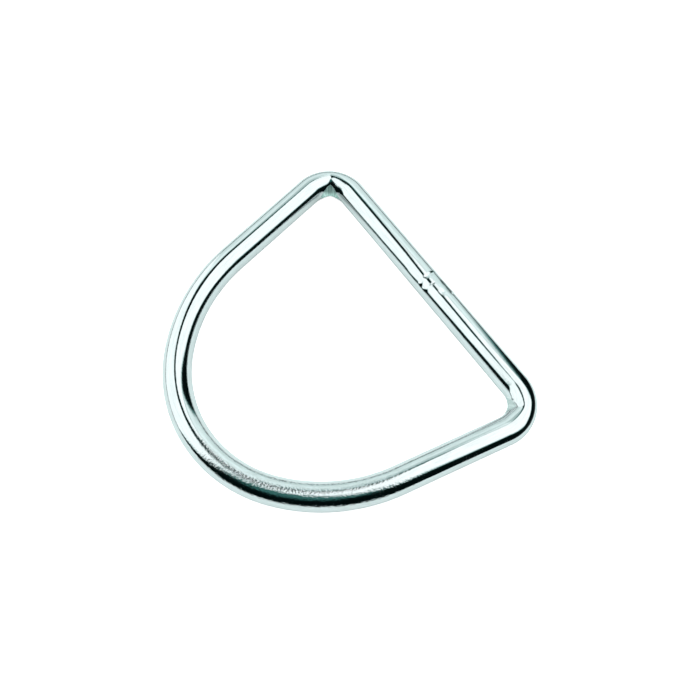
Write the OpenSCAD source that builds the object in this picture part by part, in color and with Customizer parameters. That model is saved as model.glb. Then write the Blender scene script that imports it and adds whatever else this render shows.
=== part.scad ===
// Welded D ring, bent from one length of round steel wire.
// The ring lies on its side. Its bar runs along X, its bow points to +Y,
// and its wire rests on the plane Z = 0, under the middle of the ring's outline.
// All lengths are in millimetres and all angles in degrees.

/* [Opening] */
// Width of the opening along the bar, between the two corners
inner_w = 50; // [40:0.5:60]
// Depth of the opening, from the bar to the top of the bow
inner_d = 41.2; // [36:0.2:50]

/* [Wire] */
// Diameter of the round wire
wire_d = 4.7; // [3:0.1:6]
// How much thinner the wire is where the corners and shoulders were bent and stretched
bend_thinning = 0.03; // [0.02:0.01:0.1]

/* [Bends] */
// Inside radius of the tight bend at each end of the bar
corner_in_r = 2.8; // [1.5:0.1:6]
// Angle by which each straight arm leans towards the middle
arm_lean = 11; // [5:0.5:16]
// Inside radius of the shoulder, where an arm starts to curve into the bow
shoulder_in_r = 26.5; // [20:0.5:32]
// Angle that each shoulder turns before the tighter curve of the bow
shoulder_turn = 39.5; // [30:0.5:50]

/* [Weld] */
// Place of the weld along the bar, measured from the middle of the bar
weld_x = 0.3; // [-4:0.1:4]
// Length of the upset bead along the bar
bead_l = 3; // [2:0.1:5]
// Height of the bead above the wire
bead_h = 0.12; // [0.05:0.01:0.25]
// How far the bead's pressed flats lie below the top and bottom of the wire
bead_flat = 0.02; // [0.01:0.01:0.06]

/* [Clamp nicks] */
// Distance between the two nicks that the welding clamp left on the bar's outer side
nick_gap = 4.9; // [3:0.1:8]
// Place of the middle between the two nicks, measured from the weld
nick_shift = -1.4; // [-3:0.1:3]
// Radius of the rounded clamp edge that pressed each nick
nick_r = 0.4; // [0.2:0.05:0.8]
// Depth of each nick
nick_depth = 0.12; // [0.05:0.01:0.2]

/* [Hidden] */
$fn = 96;

wire_r = wire_d / 2;
bend_lap = wire_d / 25;
plating = [0.80, 0.83, 0.84];

// Radii of the wire's middle line in the two bends
corner_r = corner_in_r + wire_r;
shoulder_r = shoulder_in_r + wire_r;

// Corner bend: it turns a right angle and the arm's lean. The bar and the arm, drawn on,
// meet at bar_reach from the middle, and corner_set is cut off each of them by the bend.
corner_turn = 90 + arm_lean;
corner_set = corner_r * tan(corner_turn / 2);
bar_half = inner_w / 2 + wire_r - corner_r;
bar_reach = bar_half + corner_set;

// Unit vectors along the right arm and square to it, away from the middle
arm_dir = [-sin(arm_lean), cos(arm_lean)];
arm_out = [cos(arm_lean), sin(arm_lean)];
arm_start = [bar_reach, 0] + corner_set * arm_dir;

// The bow's arc starts where the shoulder ends, in the direction bow_from. Its centre lies
// midway between the arms, and its top lies one wire past the depth of the opening. The arm
// has the one length for which both are true.
bow_from = arm_lean + shoulder_turn;
bow_out = [cos(bow_from), sin(bow_from)];
bow_rise = (1 - bow_out[1]) / bow_out[0];
shoulder_step = shoulder_r * (bow_out - arm_out);
level_l = inner_d + wire_d - arm_start[1] - shoulder_step[1];
arm_l = (level_l - bow_rise * (arm_start[0] + shoulder_step[0])) / (arm_dir[1] + bow_rise * arm_dir[0]);
arm_end = arm_start + arm_l * arm_dir;
shoulder_centre = arm_end - shoulder_r * arm_out;
bow_start = arm_end + shoulder_step;
bow_r = bow_start[0] / bow_out[0];
bow_centre_y = bow_start[1] - bow_r * bow_out[1];

// Bead: an arc that stands bead_h proud of the wire and dips into it at both ends.
// It runs on inside the wire by bead_tuck, so that its ends are buried.
bead_arc_r = (bead_l * bead_l / 4 + bead_h * bead_h) / (2 * bead_h);
bead_tuck = bead_l / 10;

// The outline in Y runs from the bead on the bar's outer side to the top of the bow.
outline_front = -wire_r - bead_h;
outline_back = inner_d + wire_d + wire_r;
bar_y = -(outline_front + outline_back) / 2;

// Straight length of wire along +X, with its middle line on X
module straight_wire(length) {
    rotate([0, 90, 0]) cylinder(h = length, r = wire_r);
}

// Bent length of wire round the Z axis, from one direction through a turn
module bent_wire(bend_r, from, turn, thickness = wire_d) {
    rotate([0, 0, from])
        rotate_extrude(angle = turn)
            translate([bend_r, 0]) circle(d = thickness);
}

// Stretched bend. Being thinner, it runs bend_lap into the wire at each of its ends.
module stretched_bend(bend_r, from, turn) {
    lap = bend_lap / bend_r * 180 / PI;
    bent_wire(bend_r, from - lap, turn + 2 * lap, wire_d - bend_thinning);
}

// Corner bend, straight arm and shoulder on the right side of the ring
module right_side() {
    translate([bar_half, corner_r, 0]) stretched_bend(corner_r, -90, corner_turn);
    translate([arm_start[0], arm_start[1], 0]) rotate([0, 0, 90 + arm_lean]) straight_wire(arm_l);
    translate([shoulder_centre[0], shoulder_centre[1], 0]) stretched_bend(shoulder_r, arm_lean, shoulder_turn);
}

// Upset bead of the butt weld, a barrel round the bar that the clamp pressed flat above and below
module weld_bead() {
    flat_h = wire_d - 2 * bead_flat;
    intersection() {
        rotate([0, 90, 0])
            rotate_extrude()
                intersection() {
                    translate([wire_r + bead_h - bead_arc_r, 0]) circle(r = bead_arc_r);
                    translate([0, -bead_l / 2 - bead_tuck]) square([wire_d, bead_l + 2 * bead_tuck]);
                }
        translate([-bead_l, -wire_d, -flat_h / 2]) cube([2 * bead_l, 2 * wire_d, flat_h]);
    }
}

// Scoops that the edges of the clamp left on the outer side of the bar
module clamp_nicks() {
    for (side = [-1, 1])
        translate([nick_shift + side * nick_gap / 2, -wire_r - nick_r + nick_depth, -wire_d])
            cylinder(h = 2 * wire_d, r = nick_r);
}

// The whole ring, one piece of metal
module ring() {
    color(plating)
        translate([0, bar_y, wire_r])
            difference() {
                union() {
                    translate([-bar_half, 0, 0]) straight_wire(2 * bar_half);
                    right_side();
                    mirror([1, 0, 0]) right_side();
                    translate([0, bow_centre_y, 0]) bent_wire(bow_r, bow_from, 180 - 2 * bow_from);
                    translate([weld_x, 0, 0]) weld_bead();
                }
                translate([weld_x, 0, 0]) clamp_nicks();
            }
}

ring();
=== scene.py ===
# %% [markdown]
# # A welded D ring in bright plated wire
# The object is a D ring for 50 mm webbing. One length of round steel wire is bent into a D,
# butt welded in the middle of its straight bar, and plated until it mirrors the room.
# A mirror has no look of its own, so half of this lesson is about the wire and its small
# marks, and the other half is about the studio that the wire shows.

import math

import bpy
import numpy as np
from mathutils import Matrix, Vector


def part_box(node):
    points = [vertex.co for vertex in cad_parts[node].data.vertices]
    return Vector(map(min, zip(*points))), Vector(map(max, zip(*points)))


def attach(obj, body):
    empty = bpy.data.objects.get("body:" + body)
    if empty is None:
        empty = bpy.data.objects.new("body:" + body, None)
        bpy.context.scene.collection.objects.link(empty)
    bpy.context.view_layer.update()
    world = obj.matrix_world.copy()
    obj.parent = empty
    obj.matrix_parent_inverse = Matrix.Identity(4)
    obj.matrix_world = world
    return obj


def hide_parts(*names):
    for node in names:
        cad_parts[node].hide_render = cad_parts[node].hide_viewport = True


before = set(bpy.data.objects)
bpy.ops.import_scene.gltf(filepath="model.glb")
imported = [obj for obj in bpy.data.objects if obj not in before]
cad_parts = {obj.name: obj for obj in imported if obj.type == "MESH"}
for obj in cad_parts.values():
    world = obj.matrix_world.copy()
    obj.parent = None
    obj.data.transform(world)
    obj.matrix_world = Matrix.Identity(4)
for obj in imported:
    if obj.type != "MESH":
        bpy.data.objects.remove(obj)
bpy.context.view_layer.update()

# %% [markdown]
# ## The sizes of the wire
# All sizes come from a few that a wire bender would be given: the width and depth of the
# opening, the inside radius of the bends, and how far the arms lean in. The thickness of the
# wire and the place of the bar are read from the frame. The ring lies flat, so its box is as
# high as the wire is thick, and the top of the bow is the far side of the box.

# %% Sizes of the bent wire
MM = 0.001
ring_low, ring_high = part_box("ring")
wire_r = (ring_high.z - ring_low.z) / 2
inner_w = 50 * MM
inner_d = 41.2 * MM
corner_in_r = 2.8 * MM
shoulder_in_r = 26.5 * MM
arm_lean = math.radians(11)
shoulder_turn = math.radians(39.5)

corner_r = corner_in_r + wire_r
shoulder_r = shoulder_in_r + wire_r
bow_top = inner_d + 2 * wire_r
bar_y = ring_high.y - wire_r - bow_top
print("wire", round(2 * wire_r / MM, 3), "mm thick, bar at y =", round(bar_y / MM, 3), "mm")

# %% [markdown]
# ## The path as a polygon with rounded corners
# A wire bender starts from straight wire and rounds it over a former at each bend. A polygon
# says the same thing: the bar, the two arms and the two lines in which the shoulders end,
# with a radius at each corner. Blender's Fillet Curve node then does the bending. That takes
# far fewer numbers than points set by hand, and no straight stretch meets its bend in a kink.
# The first point is the weld. It has no radius, and the wire is measured from there.

# %% Corners of the polygon
corner_turn = math.pi / 2 + arm_lean
corner_set = corner_r * math.tan(corner_turn / 2)
bar_half = inner_w / 2 + wire_r - corner_r
bar_reach = bar_half + corner_set

arm_dir = Vector((-math.sin(arm_lean), math.cos(arm_lean), 0))
arm_out = Vector((math.cos(arm_lean), math.sin(arm_lean), 0))
bow_from = arm_lean + shoulder_turn
bow_dir = Vector((-math.sin(bow_from), math.cos(bow_from), 0))
bow_out = Vector((math.cos(bow_from), math.sin(bow_from), 0))

arm_start = Vector((bar_reach, 0, 0)) + corner_set * arm_dir
shoulder_step = shoulder_r * (bow_out - arm_out)
bow_rise = (1 - bow_out.y) / bow_out.x
level = bow_top - arm_start.y - shoulder_step.y
arm_l = level - bow_rise * (arm_start.x + shoulder_step.x)
arm_l = arm_l / (arm_dir.y + bow_rise * arm_dir.x)
arm_end = arm_start + arm_l * arm_dir
bow_start = arm_end + shoulder_step
bow_r = bow_start.x / bow_out.x

shoulder_corner = arm_end + shoulder_r * math.tan(shoulder_turn / 2) * arm_dir
bow_corner = bow_start + bow_r / math.tan(bow_from) * bow_dir
bow_half_turn = math.pi / 2 - bow_from
bent_parts = (corner_r * corner_turn, arm_l, shoulder_r * shoulder_turn, bow_r * bow_half_turn)
bent_length = 2 * (bar_half + sum(bent_parts))
print("arms", round(arm_l / MM, 2), "mm straight, bow", round(bow_r / MM, 2), "mm in radius")

# %% The polygon as a curve, with the radius of each bend on its point
weld_x = 0.3 * MM
bends = [
    (weld_x, 0, 0),
    (bar_reach, 0, corner_r),
    (shoulder_corner.x, shoulder_corner.y, shoulder_r),
    (bow_corner.x, bow_corner.y, bow_r),
    (-shoulder_corner.x, shoulder_corner.y, shoulder_r),
    (-bar_reach, 0, corner_r),
]
wire_path = bpy.data.curves.new("wire_path", "CURVE")
wire_path.dimensions = "3D"
polygon = wire_path.splines.new("POLY")
polygon.points.add(len(bends) - 1)
polygon.use_cyclic_u = True
for point, (x, y, bend_r) in zip(polygon.points, bends):
    point.co = (x, bar_y + y, wire_r, 1)
    point.radius = bend_r
print("polygon of", len(polygon.points), "corners")

# %% [markdown]
# ## Small helpers for nodes
# The sweep, the metal, the floor and the room are all node trees. They could be wired by hand
# in the editor, but written out they can be read and changed in one place. These helpers make
# a node, feed its inputs from a number or from another node, and write out a calculation. A
# smooth step is a ramp that starts and ends gently, and it also runs downwards when its start
# is the larger number. A turn step is the same for an angle in degrees.

# %% Helpers for any node
def feed(tree, socket, value):
    if isinstance(value, bpy.types.NodeSocket):
        tree.links.new(value, socket)
    else:
        socket.default_value = value


def add_node(tree, kind, inputs=(), **settings):
    node = tree.nodes.new(kind)
    for name, value in settings.items():
        setattr(node, name, value)
    for name, value in dict(inputs).items():
        feed(tree, node.inputs[name], value)
    return node


print("helpers for nodes ready")

# %% Helpers for calculations
def calc(tree, operation, *values):
    node = add_node(tree, "ShaderNodeMath", operation=operation)
    for socket, value in zip(node.inputs, values):
        feed(tree, socket, value)
    return node.outputs["Value"]


def product(tree, first, *others):
    for other in others:
        first = calc(tree, "MULTIPLY", first, other)
    return first


def vector_calc(tree, operation, *values):
    node = add_node(tree, "ShaderNodeVectorMath", operation=operation)
    for socket, value in zip(node.inputs, values):
        feed(tree, socket, value)
    gives_number = operation in ("DOT_PRODUCT", "LENGTH")
    return node.outputs["Value" if gives_number else "Vector"]


def smooth_step(tree, value, start, end):
    inputs = {"Value": value, "From Min": start, "From Max": end}
    node = add_node(tree, "ShaderNodeMapRange", inputs, interpolation_type="SMOOTHSTEP")
    return node.outputs["Result"]


def turn_step(tree, angle, start_degrees, end_degrees):
    return smooth_step(tree, angle, math.radians(start_degrees), math.radians(end_degrees))


def noise(tree, space, grain, detail, rough=0.5):
    inputs = {"Vector": space, "Scale": 1 / grain, "Detail": detail, "Roughness": rough}
    node = add_node(tree, "ShaderNodeTexNoise", inputs, noise_dimensions="3D")
    return node.outputs["Fac"]


# A Mix node has its two colours in inputs 6 and 7, and their mixture in output 2.
def mixed(tree, factor, first, second):
    inputs = {"Factor": factor, 6: first, 7: second}
    return add_node(tree, "ShaderNodeMix", inputs, data_type="RGBA").outputs[2]


print("helpers for calculations ready")

# %% [markdown]
# ## Bending the wire and spacing the rings of points
# The ring is one shape that follows a rule, a circle swept along a path, so Geometry Nodes
# make it. The tree has named inputs for its sizes. It rounds the polygon, and then walks
# along it. The rings of points are closest at the weld, where the small marks are, and widest
# apart at the top of the bow, where the wire is plain. A sine that is added to the walk does
# this without a jump in spacing.

# %% The tree and its named inputs
sizes = {
    "Wire radius": wire_r,
    "Crowding at the weld": 0.75,
    "Crease depth": 0.563 * MM,
    "Crease reach": 3.27 * MM,
    "Wrinkle height": 0.12 * MM,
}
sweep = bpy.data.node_groups.new("bent wire", "GeometryNodeTree")
sweep.interface.new_socket("Geometry", in_out="INPUT", socket_type="NodeSocketGeometry")
sweep.interface.new_socket("Geometry", in_out="OUTPUT", socket_type="NodeSocketGeometry")
for name, size in sizes.items():
    socket = sweep.interface.new_socket(name, in_out="INPUT", socket_type="NodeSocketFloat")
    socket.default_value = size
given = sweep.nodes.new("NodeGroupInput").outputs


def shape_step(kind, inputs, **settings):
    return add_node(sweep, kind, inputs, **settings).outputs[0]


print(len(sizes), "named inputs")

# %% Bend the polygon, and walk along it
ring_count = 1000
points_in_bend = 200
bent = shape_step("GeometryNodeFilletCurve", {
    "Curve": given["Geometry"],
    "Count": points_in_bend,
    "Radius": sweep.nodes.new("GeometryNodeInputRadius").outputs[0],
}, mode="POLY")
wire_length = shape_step("GeometryNodeCurveLength", {"Curve": bent})

index = sweep.nodes.new("GeometryNodeInputIndex").outputs[0]
share = calc(sweep, "DIVIDE", index, ring_count)
wave = calc(sweep, "SINE", calc(sweep, "MULTIPLY", share, 2 * math.pi))
pull = product(sweep, wave, given["Crowding at the weld"], 1 / (2 * math.pi))
walked = product(sweep, calc(sweep, "SUBTRACT", share, pull), wire_length)
stop = add_node(sweep, "GeometryNodeSampleCurve", {
    "Curves": bent,
    "Length": walked,
}, mode="LENGTH", use_all_curves=True)
print("walk of", ring_count, "steps")

# %% Make the middle line, and remember it on its points
middle = shape_step("GeometryNodeCurvePrimitiveCircle", {"Resolution": ring_count, "Radius": 1.0})
middle = shape_step("GeometryNodeSetPosition", {
    "Geometry": middle,
    "Position": stop.outputs["Position"],
})
for name, kind, value in (
    ("wire_middle", "FLOAT_VECTOR", stop.outputs["Position"]),
    ("wire_way", "FLOAT_VECTOR", stop.outputs["Tangent"]),
    ("wire_along", "FLOAT", walked),
):
    middle = shape_step("GeometryNodeStoreNamedAttribute", {
        "Geometry": middle,
        "Name": name,
        "Value": value,
    }, data_type=kind, domain="POINT")
print("middle line of", ring_count, "points")

# %% Sweep the round section along the middle line
side_count = 96
section = shape_step("GeometryNodeCurvePrimitiveCircle", {
    "Resolution": side_count,
    "Radius": given["Wire radius"],
})
middle = shape_step("GeometryNodeSetCurveNormal", {"Curve": middle}, mode="Z_UP")
middle = shape_step("GeometryNodeSetCurveRadius", {"Curve": middle, "Radius": 1.0})
wire = shape_step("GeometryNodeCurveToMesh", {"Curve": middle, "Profile Curve": section})
print("section of", side_count, "sides")

# %% [markdown]
# ## Where a point is on the wire
# Each point of the sweep knows three things: how far along the wire it is from the weld, and
# how far out and up it points from the middle line. All marks are written in these terms, so
# they stay on the wire if a size changes. The turn round the wire is 0 on the outer side of
# the ring, 90 degrees on top and 180 degrees on the inner side.

# %% Along, out, up and turn
def remembered(name, kind):
    node = add_node(sweep, "GeometryNodeInputNamedAttribute", {"Name": name}, data_type=kind)
    return node.outputs["Attribute"]


line = remembered("wire_middle", "FLOAT_VECTOR")
place = sweep.nodes.new("GeometryNodeInputPosition").outputs[0]
facing = vector_calc(sweep, "NORMALIZE", vector_calc(sweep, "SUBTRACT", place, line))
outward = vector_calc(sweep, "CROSS_PRODUCT", remembered("wire_way", "FLOAT_VECTOR"), (0, 0, 1))
outward = vector_calc(sweep, "NORMALIZE", outward)
out = vector_calc(sweep, "DOT_PRODUCT", facing, outward)
up = vector_calc(sweep, "DOT_PRODUCT", facing, (0, 0, 1))
round_turn = calc(sweep, "ARCTAN2", up, out)

along = remembered("wire_along", "FLOAT")
past_half = calc(sweep, "GREATER_THAN", along, product(sweep, wire_length, 0.5))
from_weld = calc(sweep, "SUBTRACT", along, calc(sweep, "MULTIPLY", past_half, wire_length))
print("marks are placed by the way along and the turn round the wire")

# %% [markdown]
# ## The weld
# The two ends of the wire were pressed together and melted, and a die squeezed the joint back
# to the wire's size. What is left is a handful of low swellings and dents, and they decide
# which part of the room each spot shows. Each one is a smooth hump with its own place, length,
# width and height, so a mark can be moved or flattened by one number. Sculpting would need far
# more points. A hump may also slant, which means that it drifts along the wire as it goes
# round.

# %% Swellings and dents: place along, turn, half length, half width, height, slant
weld_marks = {
    "inner swelling": (-1.02 * MM, 153, 0.78 * MM, 44, 0.054 * MM, 0.22 * MM),
    "inner swelling past the joint": (0.14 * MM, 144, 0.54 * MM, 62, 0.03 * MM, -0.36 * MM),
    "long inner rise": (0.98 * MM, 145, 2.96 * MM, 59, 0.055 * MM, 0.83 * MM),
    "broad crest swelling": (-0.86 * MM, 95, 1.91 * MM, 39, 0.026 * MM, 0.33 * MM),
    "long crest rise": (2.42 * MM, 113, 4.86 * MM, 23, 0.036 * MM, -1.61 * MM),
    "crest pit": (-1.29 * MM, 100, 0.27 * MM, 18, -0.045 * MM, 0.02 * MM),
    "groove of the joint": (0.39 * MM, 84, 0.54 * MM, 42, -0.088 * MM, -0.01 * MM),
    "far crest dent": (-3.43 * MM, 88, 0.96 * MM, 15, -0.062 * MM, 0.1 * MM),
    "far clamp mark": (-3.86 * MM, 58, 1.49 * MM, 15, -0.047 * MM, -0.46 * MM),
    "middle clamp mark": (-2.15 * MM, 58, 1.05 * MM, 12, -0.033 * MM, -0.76 * MM),
    "far nick": (-4.4 * MM, 44, 0.35 * MM, 14, -0.07 * MM, 0),
}
print(len(weld_marks), "marks at the weld")

# %% Add each mark to the radius of the wire
def hump(place_along, turn_degrees, half_length, half_width, height, slant):
    past_turn = calc(sweep, "SUBTRACT", round_turn, math.radians(turn_degrees))
    past_place = calc(sweep, "SUBTRACT", from_weld, place_along)
    past_place = calc(sweep, "SUBTRACT", past_place, product(sweep, past_turn, slant))
    along_part = product(sweep, past_place, 1 / half_length)
    round_part = product(sweep, past_turn, 1 / math.radians(half_width))
    along_square = product(sweep, along_part, along_part)
    round_square = product(sweep, round_part, round_part)
    spread = calc(sweep, "ADD", along_square, round_square)
    inside = calc(sweep, "MAXIMUM", calc(sweep, "SUBTRACT", 1, spread), 0)
    return product(sweep, inside, inside, height)


relief = given["Wire radius"]
for mark in weld_marks.values():
    relief = calc(sweep, "ADD", relief, hump(*mark))
furthest = max(abs(mark[0]) for mark in weld_marks.values())
print("marks up to", round(furthest / MM, 2), "mm from the weld")

# %% [markdown]
# ## The two tight bends
# Wire that is bent over a narrow former is squeezed on the inside. It buckles into a crease
# across the middle of the bend, and the metal beside the crease wrinkles. A smooth bend would
# show one round dark spot there, and the crease turns it into a dark arrow. The crease is a
# depth that falls off along the wire and that starts and ends gently round it. No two bends
# buckle alike, so each crease starts at its own turn. The wrinkles are a low noise, and they
# have to be in the shape too, because a bump in the metal can't change the edge of the wire.

# %% Crease inside each tight bend
bend_middle = bar_half + corner_r * corner_turn / 2
crease_starts = {bend_middle: 56, -bend_middle: 80}
crease_full = 152
crease_end = (138, 180)
crease_steepness = 2.3
crease_round_off = 0.1 * MM


def distance_from(bend_at):
    away = calc(sweep, "SUBTRACT", from_weld, bend_at - weld_x)
    return calc(sweep, "SQRT", calc(sweep, "MULTIPLY_ADD", away, away, crease_round_off ** 2))


inner_turn = calc(sweep, "ABSOLUTE", round_turn)
crease_close = turn_step(sweep, inner_turn, crease_end[1], crease_end[0])
for bend_at, start in crease_starts.items():
    share_of_reach = calc(sweep, "DIVIDE", distance_from(bend_at), given["Crease reach"])
    near = calc(sweep, "MAXIMUM", calc(sweep, "SUBTRACT", 1, share_of_reach), 0)
    near = calc(sweep, "POWER", near, crease_steepness)
    crease_round = turn_step(sweep, inner_turn, start, crease_full)
    crease = product(sweep, near, crease_round, crease_close, given["Crease depth"])
    relief = calc(sweep, "SUBTRACT", relief, crease)
print("bends are creased", round(bend_middle / MM, 2), "mm from the middle of the bar")

# %% Wrinkles beside each crease
wrinkle_grain = 0.6 * MM
wrinkles_in_turn = 0.7
wrinkled_side = (128, 155)
wrinkled_reach = (1.5 * MM, 3.5 * MM)
wrinkle_place = shape_step("ShaderNodeCombineXYZ", {
    "X": product(sweep, from_weld, 1 / wrinkle_grain),
    "Y": product(sweep, inner_turn, wrinkles_in_turn),
})
wrinkle = calc(sweep, "MULTIPLY_ADD", noise(sweep, wrinkle_place, 1, 1), 2, -1)
on_inner_side = turn_step(sweep, inner_turn, *wrinkled_side)
for bend_at in crease_starts:
    beside = smooth_step(sweep, distance_from(bend_at), wrinkled_reach[1], wrinkled_reach[0])
    wrinkled = product(sweep, beside, on_inner_side, wrinkle, given["Wrinkle height"])
    relief = calc(sweep, "ADD", relief, wrinkled)
print("wrinkles up to", round(wrinkled_reach[1] / MM, 2), "mm from each crease")

# %% Put the points in place
out_by = shape_step("ShaderNodeVectorMath", {
    0: outward,
    "Scale": product(sweep, relief, out),
}, operation="SCALE")
up_by = shape_step("ShaderNodeCombineXYZ", {"Z": product(sweep, relief, up)})
placed = vector_calc(sweep, "ADD", line, vector_calc(sweep, "ADD", out_by, up_by))
wire = shape_step("GeometryNodeSetPosition", {"Geometry": wire, "Position": placed})
wire = shape_step("GeometryNodeStoreNamedAttribute", {
    "Geometry": wire,
    "Name": "wire_round",
    "Value": round_turn,
}, data_type="FLOAT", domain="POINT")
print("points are placed, and each remembers its turn")

# %% Finish the tree
plating = bpy.data.materials.new("plated_steel")
wire = shape_step("GeometryNodeSetShadeSmooth", {"Geometry": wire})
wire = shape_step("GeometryNodeRealizeInstances", {"Geometry": wire})
wire = shape_step("GeometryNodeSetMaterial", {"Geometry": wire, "Material": plating})
sweep.links.new(wire, sweep.nodes.new("NodeGroupOutput").inputs[0])
print(len(sweep.nodes), "nodes in the tree")

# %% [markdown]
# ## From the tree to a plain mesh
# A part that others reuse has to be a plain mesh, so the result of the tree is copied out and
# the modifier goes. The sizes are set by each socket's identifier, before the first look at
# the result.

# %% Sweep the wire
sweeper = bpy.data.objects.new("wire_sweeper", wire_path)
bpy.context.scene.collection.objects.link(sweeper)
bending = sweeper.modifiers.new("bent wire", "NODES")
bending.node_group = sweep
for item in sweep.interface.items_tree:
    if item.name in sizes:
        bending[item.identifier] = sizes[item.name]
shaped = sweeper.evaluated_get(bpy.context.evaluated_depsgraph_get())
ring_mesh = bpy.data.meshes.new_from_object(shaped)
sweeper.modifiers.remove(bending)
bpy.data.objects.remove(sweeper)
ring = bpy.data.objects.new("ring_wire", ring_mesh)
bpy.context.scene.collection.objects.link(ring)
print("ring of", len(ring_mesh.vertices), "points and", len(ring_mesh.polygons), "faces")

# %% [markdown]
# ## A map that follows the wire
# The fine marks in the plating run along the wire, so the metal needs to know the wire's own
# directions. A UV map holds them: U is the way along from the weld in metres, and V is the
# turn round the wire, from -0.5 to 0.5. Faces that close the loop or the circle would run
# backwards through the whole map, so their last points are given one full round more.

# %% UV map of the wire
along_values = np.zeros(len(ring_mesh.vertices), np.float32)
round_values = np.zeros(len(ring_mesh.vertices), np.float32)
ring_mesh.attributes["wire_along"].data.foreach_get("value", along_values)
ring_mesh.attributes["wire_round"].data.foreach_get("value", round_values)
loop_points = np.zeros(len(ring_mesh.loops), np.int32)
ring_mesh.loops.foreach_get("vertex_index", loop_points)


def unrolled(values, full_round):
    corners = values[loop_points].reshape(-1, 4)
    widest = corners.max(axis=1, keepdims=True)
    return np.where(widest - corners > full_round / 2, corners + full_round, corners).ravel()


uv = np.stack([
    unrolled(along_values, bent_length),
    unrolled(round_values / (2 * math.pi), 1.0),
], axis=1).astype(np.float32)
ring_mesh.uv_layers.new(name="wire_map").data.foreach_set("uv", uv.ravel())
for name in ("wire_middle", "wire_way", "wire_along", "wire_round"):
    ring_mesh.attributes.remove(ring_mesh.attributes[name])
print("wire is", round(bent_length / MM, 1), "mm long")

# %% [markdown]
# ## Plated steel
# Bright plating on drawn wire is a mirror with small faults. The die leaves fine marks that
# run along the wire, the plating lies a little wavy over them, and handling leaves rubbed
# patches. Paint-like colour noise would look like dirt, so nearly everything is in the bump
# and in the roughness. The noises are read in a space that is wound off the wire and pressed
# together along it, which makes every grain longer along the wire than it is wide.

# %% The wire's own space
plating.use_nodes = True
metal = plating.node_tree
metal.nodes.clear()
wire_map = add_node(metal, "ShaderNodeUVMap", uv_map="wire_map").outputs[0]
split = add_node(metal, "ShaderNodeSeparateXYZ", {"Vector": wire_map})
along_wire = split.outputs["X"]
turn = calc(metal, "MULTIPLY", split.outputs["Y"], 2 * math.pi)
across_x = calc(metal, "MULTIPLY", calc(metal, "COSINE", turn), wire_r)
across_y = calc(metal, "MULTIPLY", calc(metal, "SINE", turn), wire_r)


def wire_space(stretch):
    pressed = calc(metal, "MULTIPLY", along_wire, 1 / stretch)
    node = add_node(metal, "ShaderNodeCombineXYZ", {"X": across_x, "Y": across_y, "Z": pressed})
    return node.outputs[0]


print("metal reads the wire's own map")

# %% Draw marks, waves, grains, rubbed patches and streaks
draw_marks = noise(metal, wire_space(30), 0.12 * MM, 3, 0.6)
waves = noise(metal, wire_space(2), 0.9 * MM, 2)
grains = noise(metal, wire_space(1.3), 0.26 * MM, 2)
patches = noise(metal, wire_space(3), 4 * MM, 3, 0.55)
streaks = noise(metal, wire_space(8), 0.35 * MM, 3, 0.65)
print("five noises along the wire")

# %% [markdown]
# Two places are rougher than the rest. Inside each tight bend the squeezed metal is wrinkled
# and dull, in a patch that widens towards the inner side. From the top of the bow round one
# shoulder, where a hook would hang and rub, the plating is grainy. A dark line breaks up into
# specks there. Masks are the simplest way to say this, since both places are a stretch of the
# same wire.

# %% Squeezed patch inside each tight bend
patch_tip = math.radians(125)
patch_widening = 4.26 * MM / math.radians(69)
patch_border = (-0.1 * MM, 0.2 * MM)
patch_fade_in = (121, 128)
wrinkle_drift = 0.3 * MM
past_middle = calc(metal, "ADD", along_wire, weld_x)
from_middle = calc(metal, "PINGPONG", past_middle, bent_length / 2)
from_bend = calc(metal, "ABSOLUTE", calc(metal, "SUBTRACT", from_middle, bend_middle))
turned = calc(metal, "ABSOLUTE", turn)
past_tip = calc(metal, "MAXIMUM", calc(metal, "SUBTRACT", turned, patch_tip), 0)
patch_half = calc(metal, "MULTIPLY", past_tip, patch_widening)
inside_patch = calc(metal, "SUBTRACT", patch_half, from_bend)
squeezed = smooth_step(metal, inside_patch, *patch_border)
squeezed = product(metal, squeezed, turn_step(metal, turned, *patch_fade_in))
wrinkle_space = add_node(metal, "ShaderNodeCombineXYZ", {
    "X": calc(metal, "MULTIPLY", turn, wrinkle_drift),
    "Z": along_wire,
}).outputs[0]
wrinkles = noise(metal, wrinkle_space, wrinkle_grain, 2)
print("a dull patch inside each tight bend")

# %% Grainy stretch of the bow
grainy_rise = (80 * MM, 92 * MM)
grainy_fall = (114 * MM, 126 * MM)
grainy = smooth_step(metal, along_wire, *grainy_rise)
grainy = product(metal, grainy, smooth_step(metal, along_wire, grainy_fall[1], grainy_fall[0]))
print("grainy from", grainy_rise[0] / MM, "to", grainy_fall[1] / MM, "mm along from the weld")

# %% [markdown]
# ## Colour, shine and bumps of the metal
# Nickel is a little darker than silver and faintly cool. Its colour hardly changes along the
# streaks. The wrinkled patches get painted light in place of a colour of their own: painted
# shade in the hollows of the wrinkles and painted highlights on their ridges, in the blue-green
# of the room's dim light, and the one in the second bend has less of it. They are also rougher,
# because the wrinkles scatter the light. The bumps are stacked from the lowest to the highest,
# and their heights are true heights, so each can be compared with what a die or a former would
# leave.

# %% Colour of the plating
dim_nickel = (0.6, 0.63, 0.635, 1)
bright_nickel = (0.67, 0.7, 0.71, 1)
# Painted shade for the hollows of the wrinkles and painted highlight for their ridges, blue-green
# like the room's dim light
wrinkle_hollow_painted_shade = (0.42, 0.62, 0.57, 1)
wrinkle_ridge_painted_highlight = (0.74, 0.95, 0.9, 1)
second_bend_less_painted_light = 0.7
tint = mixed(metal, smooth_step(metal, streaks, 0.3, 0.7), dim_nickel, bright_nickel)
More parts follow.
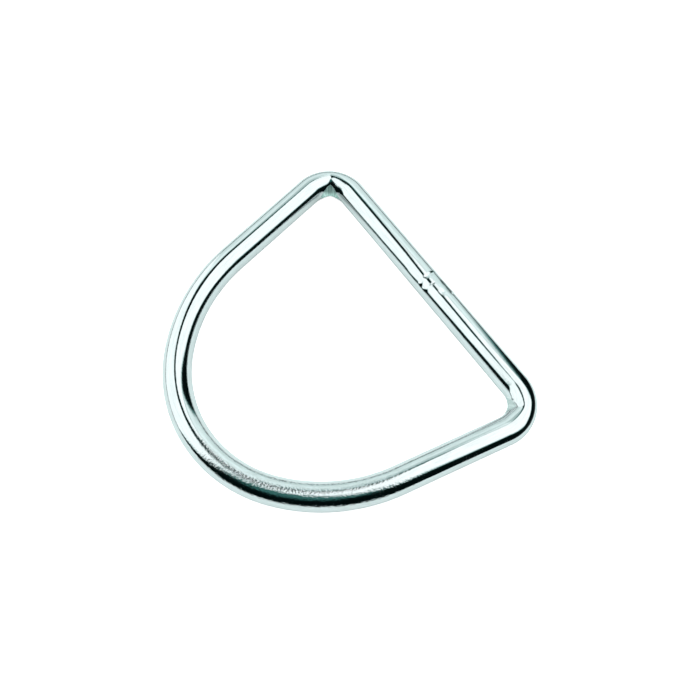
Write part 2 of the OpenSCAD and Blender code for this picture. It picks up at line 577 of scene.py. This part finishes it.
# The wrinkles that make the bumps also pick the painted light: pale on the ridges, dark in the
# hollows; the second bend gets less of it
wrinkle_painted_light_mask = smooth_step(metal, wrinkles, 0.38, 0.62)
patch_painted_light = mixed(metal, wrinkle_painted_light_mask, wrinkle_hollow_painted_shade, wrinkle_ridge_painted_highlight)
in_second_bend = calc(metal, "GREATER_THAN", along_wire, bent_length / 2)
painted_light_share = calc(metal, "MULTIPLY_ADD", in_second_bend, -second_bend_less_painted_light, 1)
colour = mixed(metal, product(metal, squeezed, painted_light_share), tint, patch_painted_light)
print("nickel, with", wrinkle_hollow_painted_shade[:3], "in the wrinkles")

# %% Roughness of the plating
polished_roughness = 0.07
rubbed_more = 0.06
squeezed_more = 0.43
rubbed = smooth_step(metal, patches, 0.5, 0.75)
roughness = calc(metal, "MULTIPLY_ADD", rubbed, rubbed_more, polished_roughness)
roughness = calc(metal, "MULTIPLY_ADD", squeezed, squeezed_more, roughness)
print("roughness from", polished_roughness, "to", polished_roughness + squeezed_more)

# %% Bumps, and the metal put together
MICRON = 1e-6
grain_elsewhere = 0.08
graininess = calc(metal, "MULTIPLY_ADD", grainy, 1 - grain_elsewhere, grain_elsewhere)
level_wrinkles = calc(metal, "SUBTRACT", wrinkles, 0.5)
bumps = None
for height, distance in (
    (draw_marks, 0.25 * MICRON),
    (waves, 4 * MICRON),
    (calc(metal, "MULTIPLY", grains, graininess), 36 * MICRON),
    (calc(metal, "MULTIPLY", level_wrinkles, squeezed), 150 * MICRON),
):
    inputs = {"Strength": 1.0, "Distance": distance, "Height": height}
    if bumps is not None:
        inputs["Normal"] = bumps
    bumps = add_node(metal, "ShaderNodeBump", inputs).outputs[0]
shine = add_node(metal, "ShaderNodeBsdfPrincipled", {
    "Metallic": 1.0,
    "Base Color": colour,
    "Roughness": roughness,
    "Normal": bumps,
})
add_node(metal, "ShaderNodeOutputMaterial", {"Surface": shine.outputs[0]})
print(len(metal.nodes), "nodes in the metal")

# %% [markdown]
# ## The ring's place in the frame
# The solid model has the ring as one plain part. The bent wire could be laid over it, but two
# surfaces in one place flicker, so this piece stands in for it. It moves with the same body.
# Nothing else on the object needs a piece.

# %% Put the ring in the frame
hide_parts("ring")
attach(ring, "root")
print("ring_wire stands for the CAD ring")

# %% [markdown]
# ## The camera
# The ring was photographed from close by, from 67 degrees above the table and from the bow's
# side. The camera could be moved by eye, but its turn, its rise and its distance say where it
# stood, and each can be changed alone. They come from fitting the wire's outline to the
# photo's. The camera aims at the middle plane of the wire.

# %% Camera
aim_x = -1.89 * MM
aim_past_bar = 17.87 * MM
aim = Vector((aim_x, bar_y + aim_past_bar, wire_r))
camera_turn = math.radians(234.31)
camera_rise = math.radians(67.44)
camera_far = 127.14 * MM
back = Vector((
    math.sin(camera_turn) * math.cos(camera_rise),
    -math.cos(camera_turn) * math.cos(camera_rise),
    math.sin(camera_rise),
))
lens = bpy.data.cameras.new("camera")
lens.lens = 40.07
lens.sensor_width = 36
lens.clip_start = 5 * MM
lens.clip_end = 20
camera = bpy.data.objects.new("camera", lens)
bpy.context.scene.collection.objects.link(camera)
camera.location = aim + camera_far * back
camera.rotation_mode = "QUATERNION"
camera.rotation_quaternion = (-back).to_track_quat("-Z", "Y")
bpy.context.scene.camera = camera
print("camera at", tuple(round(v, 5) for v in camera.location))

# %% [markdown]
# ## The studio
# Everything that the wire shows is light from somewhere. The ring lay in a small tent: a
# bright panel on the left, a bright panel overhead with a narrow gap between the two, a dimmer
# sheet behind, and nothing in front or low on the right, so the dark room shows there. Each
# straight edge of a panel, seen from the ring, lies in a plane through the ring. So a panel is
# a few planes, and what is on the right side of all of them is lit. That is simpler than
# panels in space, and no other view can look behind them. A direction has three parts: to the
# right and ahead as the photographer sees it, and up.

# %% Directions as the photographer would say them
right = Vector((math.cos(camera_turn), math.sin(camera_turn), 0))
ahead = Vector((-back.x, -back.y, 0)).normalized()

room = bpy.data.worlds.new("studio")
bpy.context.scene.world = room
room.use_nodes = True
sky = room.node_tree
sky.nodes.clear()
looking = add_node(sky, "ShaderNodeTexCoord").outputs["Generated"]
to_right = vector_calc(sky, "DOT_PRODUCT", looking, right)
to_ahead = vector_calc(sky, "DOT_PRODUCT", looking, ahead)
to_top = vector_calc(sky, "DOT_PRODUCT", looking, (0, 0, 1))
seen_parts = {"X": to_right, "Y": to_ahead, "Z": to_top}
seen = add_node(sky, "ShaderNodeCombineXYZ", seen_parts).outputs[0]


def edge(normal, softness):
    towards = vector_calc(sky, "DOT_PRODUCT", seen, Vector(normal).normalized())
    return smooth_step(sky, towards, -softness, softness)


print("right", tuple(right), "ahead", tuple(ahead))

# %% Two bright panels, and the seam between them
middle_seam = -0.16
left_level = 1.15
top_level = 1.17
left_panel = product(
    sky,
    edge((-0.529, 1, -0.083), 0.02),  # near side, low
    edge((-0.134, 1, 0.524), 0.04),  # near side, high
    edge((-1, 0, middle_seam), 0.02),  # seam
    edge((-0.834, -0.552, 0), 0.03),  # far side
    smooth_step(sky, to_top, 0.057, 0.073),  # foot
    left_level,
)
top_panel = product(
    sky,
    edge((0.9, 1, 0.14), 0.057),  # near side, on the left
    edge((-1, -0.344, 2.074), 0.057),  # right side
    edge((0, 1, 0.89), 0.09),  # near side
    edge((1, 0, -middle_seam), 0.02),  # seam
    edge((0, -1, 0.678), 0.057),  # far side
    top_level,
)
print("panels of", left_level, "and", top_level)

# %% Gap between the panels, darkest overhead
gap_at_far_end = 0.25
gap_fade = edge((0, -1, 0.72), 0.15)
gap = product(
    sky,
    edge((1, -0.2, 0.335), 0.02),
    edge((-1, 0.33, -0.168), 0.02),
    edge((0, 1, -0.06), 0.03),
    calc(sky, "MULTIPLY_ADD", gap_fade, 1 - gap_at_far_end, gap_at_far_end),
)
brighter_panel = calc(sky, "MAXIMUM", left_panel, top_panel)
panels = product(sky, brighter_panel, calc(sky, "SUBTRACT", 1, gap))
print("the gap keeps", 1 - gap_at_far_end, "of the light at its far end")

# %% Sheet behind, with a darker streak in its middle
back_foot_level = 0.68
back_rise = 0.479
streak_lean = 0.168
streak_halves = (0.086, 0.146)
streak_depth = 0.414
streak_at = calc(sky, "ABSOLUTE", calc(sky, "MULTIPLY_ADD", to_top, streak_lean, to_right))
streak = product(
    sky,
    smooth_step(sky, streak_at, streak_halves[1], streak_halves[0]),
    edge((0, -1, 1.195), 0.15),
    streak_depth,
)
back_sheet = product(
    sky,
    edge((-0.76, 0.649, 0), 0.057),  # right side
    edge((0, 1, -0.678), 0.057),  # upper side
    smooth_step(sky, to_top, 0.065, 0.085),  # foot
    calc(sky, "MULTIPLY_ADD", to_top, back_rise, back_foot_level),
    calc(sky, "SUBTRACT", 1, streak),
)
print("sheet behind of", back_foot_level, "at its foot")

# %% Faint glow overhead in the dark room
glow_way = Vector((-0.073, -0.152, 0.92)).normalized()
glow_edge = 0.809
glow_level = 0.15
glow_lost_in_gap = 0.8
darkest = 0.004
towards_glow = vector_calc(sky, "DOT_PRODUCT", seen, glow_way)
glow = product(
    sky,
    smooth_step(sky, towards_glow, glow_edge, 1.0),
    glow_level,
    calc(sky, "MULTIPLY_ADD", gap, -glow_lost_in_gap, 1),
)
lit = calc(sky, "MAXIMUM", panels, back_sheet)
lit = calc(sky, "MAXIMUM", lit, calc(sky, "ADD", glow, darkest))
print("dark room from", darkest, "to", round(darkest + glow_level, 3))

# %% [markdown]
# ## The colour of the light
# The tent gives one amount of light in each direction, and a ramp turns it into a colour.
# White cloth that is less lit looks cooler, so the dark end of the ramp is blue-green and the
# bright end is nearly white. The wire is shown that light. The camera is shown plain white
# instead, because the paper round the ring was burnt out in the photo.

# %% From the amount of light to its colour
brightest = 1.25
room_strength = 1.65
stops = [
    (0.007, (0.0006, 0.0035, 0.0034)),
    (0.04, (0.01, 0.036, 0.034)),
    (0.135, (0.036, 0.135, 0.123)),
    (0.28, (0.15, 0.28, 0.266)),
    (0.5, (0.388, 0.5, 0.488)),
    (0.64, (0.51, 0.64, 0.625)),
    (0.94, (0.80, 0.94, 0.925)),
    (1.12, (1.0, 1.12, 1.11)),
    (1.18, (1.14, 1.18, 1.18)),
]
tone = add_node(sky, "ShaderNodeValToRGB", {"Fac": calc(sky, "DIVIDE", lit, brightest)})
ramp = tone.color_ramp
while len(ramp.elements) < len(stops):
    ramp.elements.new(0.5)
for element, (light, shade) in zip(ramp.elements, stops):
    element.position = light / brightest
for element, (light, shade) in zip(ramp.elements, stops):
    element.color = (*(part / brightest for part in shade), 1)
print("ramp of", len(ramp.elements), "colours")

# %% One room for the wire, and plain white for the camera
def for_wire_or_camera(tree, shown_in_wire, shown_to_camera):
    camera_ray = tree.nodes.new("ShaderNodeLightPath").outputs["Is Camera Ray"]
    inputs = {0: camera_ray, 1: shown_in_wire.outputs[0], 2: shown_to_camera.outputs[0]}
    return add_node(tree, "ShaderNodeMixShader", inputs).outputs[0]


room_light = {"Color": tone.outputs["Color"], "Strength": room_strength}
tent = add_node(sky, "ShaderNodeBackground", room_light)
white = add_node(sky, "ShaderNodeBackground", {"Color": (1, 1, 1, 1), "Strength": 1.0})
add_node(sky, "ShaderNodeOutputWorld", {"Surface": for_wire_or_camera(sky, tent, white)})
print(len(sky.nodes), "nodes in the studio")

# %% [markdown]
# ## The paper and the lamp
# The ring lay on white paper. The underside of the wire mirrors that paper, and past the
# paper's edges the floor is dark as the wire sees it. The camera sees only a white that is
# burnt out, so the floor adds a glow for the camera and keeps its true colour for the wire.
# The lamp is large and far enough off to be soft, and it is left out of the reflections, where
# the panels do its work.

# %% White paper, and a dark floor past its edges
floor_half = 2.0
floor_corners = [
    (-floor_half, -floor_half, 0),
    (floor_half, -floor_half, 0),
    (floor_half, floor_half, 0),
    (-floor_half, floor_half, 0),
]
floor_mesh = bpy.data.meshes.new("floor")
floor_mesh.from_pydata(floor_corners, [], [(0, 1, 2, 3)])
floor = bpy.data.objects.new("floor", floor_mesh)
bpy.context.scene.collection.objects.link(floor)
paper = bpy.data.materials.new("white_paper")
paper.use_nodes = True
floor_mesh.materials.append(paper)
print("floor of", 2 * floor_half, "metres")

# %% Colour of the floor for the wire and for the camera
paper_right = (45 * MM, 53 * MM)
paper_ahead = (130 * MM, 160 * MM)
# Past the paper's edges the floor is dark as the wire sees it
floor_dark_past_paper = (0.02, 0.025, 0.025, 1)
white_paper = (0.86, 0.93, 0.92, 1)
camera_glow = 0.96
sheet = paper.node_tree
sheet.nodes.clear()
spot = add_node(sheet, "ShaderNodeTexCoord").outputs["Object"]
spot_right = vector_calc(sheet, "DOT_PRODUCT", spot, right)
spot_ahead = vector_calc(sheet, "DOT_PRODUCT", spot, ahead)
on_paper = product(
    sheet,
    smooth_step(sheet, spot_right, paper_right[1], paper_right[0]),
    smooth_step(sheet, spot_ahead, paper_ahead[1], paper_ahead[0]),
)
floor_colour = mixed(sheet, on_paper, floor_dark_past_paper, white_paper)
true_floor = add_node(sheet, "ShaderNodeBsdfDiffuse", {"Color": floor_colour})
glowing = add_node(sheet, "ShaderNodeEmission", {"Color": (1, 1, 1, 1), "Strength": camera_glow})
plain = add_node(sheet, "ShaderNodeBsdfDiffuse", {"Color": (0.9, 0.9, 0.9, 1)})
burnt_out = add_node(sheet, "ShaderNodeAddShader", {0: glowing.outputs[0], 1: plain.outputs[0]})
either = for_wire_or_camera(sheet, true_floor, burnt_out)
add_node(sheet, "ShaderNodeOutputMaterial", {"Surface": either})
print(len(sheet.nodes), "nodes in the floor")

# %% Soft lamp
lamp_height = 0.8
lamp = bpy.data.lights.new("soft_lamp", "AREA")
lamp.shape = "DISK"
lamp.size = 0.8
lamp.energy = 3.25
lamp_object = bpy.data.objects.new("soft_lamp", lamp)
bpy.context.scene.collection.objects.link(lamp_object)
lamp_object.location = (0, 0, lamp_height)
lamp_object.visible_glossy = False
lamp_object.visible_camera = False
print("lamp of", lamp.energy, "watts,", lamp_height, "metres up")

# %% [markdown]
# ## The picture
# The photo is contrasty: its paper is pure white and its dark lines are nearly black. The
# Standard view keeps light as it is, where the filmic ones would grey the white and lift the
# black.

# %% View of the picture
view = bpy.context.scene.view_settings
view.view_transform = "Standard"
view.look = "None"
view.exposure = 0
view.gamma = 1
print("view", view.view_transform)
